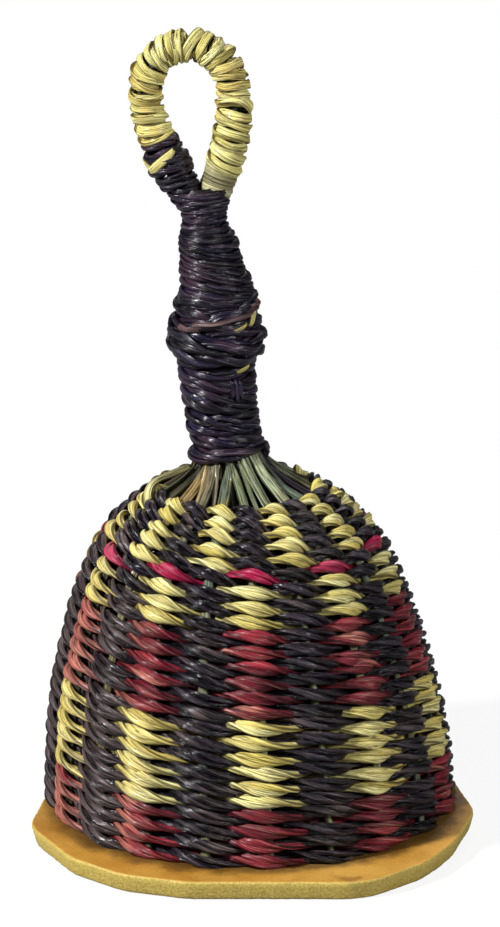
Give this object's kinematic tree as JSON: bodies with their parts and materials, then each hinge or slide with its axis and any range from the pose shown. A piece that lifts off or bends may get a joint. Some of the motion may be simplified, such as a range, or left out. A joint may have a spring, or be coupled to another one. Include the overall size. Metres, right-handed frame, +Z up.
{
  "type": "caxixi",
  "caption": "Closed basket rattle, twined in straw over cane stakes on a flat base disc, with a bound grip, a finger loop on top and loose seeds inside.",
  "frame": {"origin": "middle of the base disc's underside", "axes": "+Z up through basket, grip and loop; +X to the right and -Y to the front in the picture"},
  "size_m": [0.123, 0.1322, 0.2224],
  "materials": {
    "gourd_disc": "smooth, worn satin",
    "cane": "raw split cane, satin",
    "straw_red": "dyed straw, satin",
    "straw_yellow": "plain straw, satin",
    "straw_crimson": "dyed straw, satin",
    "straw_dark": "dyed straw, slightly glossy",
    "seed": "hard smooth seed coat"
  },
  "bodies": {
    "basket": {"base_disc": "gourd_disc", "stake_01": "cane", "stake_02": "cane", "stake_03": "cane", "stake_04": "cane", "stake_05": "cane", "stake_06": "cane", "stake_07": "cane", "stake_08": "cane", "stake_09": "cane", "stake_10": "cane", "stake_11": "cane", "stake_12": "cane", "stake_13": "cane", "stake_14": "cane", "stake_15": "cane", "stake_16": "cane", "stake_17": "cane", "stake_18": "cane", "stake_19": "cane", "stake_20": "cane", "loop_cane_01": "cane", "loop_cane_02": "cane", "loop_cane_03": "cane", "weft_red_lower": "straw_red", "weft_yellow_lower": "straw_yellow", "weft_red_upper": "straw_red", "weft_yellow_upper": "straw_yellow", "weft_crimson": "straw_crimson", "weft_yellow_crown": "straw_yellow", "grip_binding": "straw_dark", "bulge_binding": "straw_dark", "leg_binding": "straw_dark", "loop_binding": "straw_yellow"},
    "seed_01": {"seed_01": "seed"},
    "seed_02": {"seed_02": "seed"},
    "seed_03": {"seed_03": "seed"},
    "seed_04": {"seed_04": "seed"},
    "seed_05": {"seed_05": "seed"},
    "seed_06": {"seed_06": "seed"},
    "seed_07": {"seed_07": "seed"},
    "seed_08": {"seed_08": "seed"},
    "seed_09": {"seed_09": "seed"},
    "seed_10": {"seed_10": "seed"},
    "seed_11": {"seed_11": "seed"},
    "seed_12": {"seed_12": "seed"}
  },
  "joints": [
    {"name": "seed_01_lift", "type": "slide", "parent": "basket", "child": "seed_01", "axis": [0, 0, 1], "range_m": [0, 0.078]},
    {"name": "seed_02_lift", "type": "slide", "parent": "basket", "child": "seed_02", "axis": [0, 0, 1], "range_m": [0, 0.078]},
    {"name": "seed_03_lift", "type": "slide", "parent": "basket", "child": "seed_03", "axis": [0, 0, 1], "range_m": [0, 0.076]},
    {"name": "seed_04_lift", "type": "slide", "parent": "basket", "child": "seed_04", "axis": [0, 0, 1], "range_m": [0, 0.072]},
    {"name": "seed_05_lift", "type": "slide", "parent": "basket", "child": "seed_05", "axis": [0, 0, 1], "range_m": [0, 0.074]},
    {"name": "seed_06_lift", "type": "slide", "parent": "basket", "child": "seed_06", "axis": [0, 0, 1], "range_m": [0, 0.065]},
    {"name": "seed_07_lift", "type": "slide", "parent": "basket", "child": "seed_07", "axis": [0, 0, 1], "range_m": [0, 0.064]},
    {"name": "seed_08_lift", "type": "slide", "parent": "basket", "child": "seed_08", "axis": [0, 0, 1], "range_m": [0, 0.062]},
    {"name": "seed_09_lift", "type": "slide", "parent": "basket", "child": "seed_09", "axis": [0, 0, 1], "range_m": [0, 0.05]},
    {"name": "seed_10_lift", "type": "slide", "parent": "basket", "child": "seed_10", "axis": [0, 0, 1], "range_m": [0, 0.057]},
    {"name": "seed_11_lift", "type": "slide", "parent": "basket", "child": "seed_11", "axis": [0, 0, 1], "range_m": [0, 0.037]},
    {"name": "seed_12_lift", "type": "slide", "parent": "basket", "child": "seed_12", "axis": [0, 0, 1], "range_m": [0, 0.031]}
  ]
}
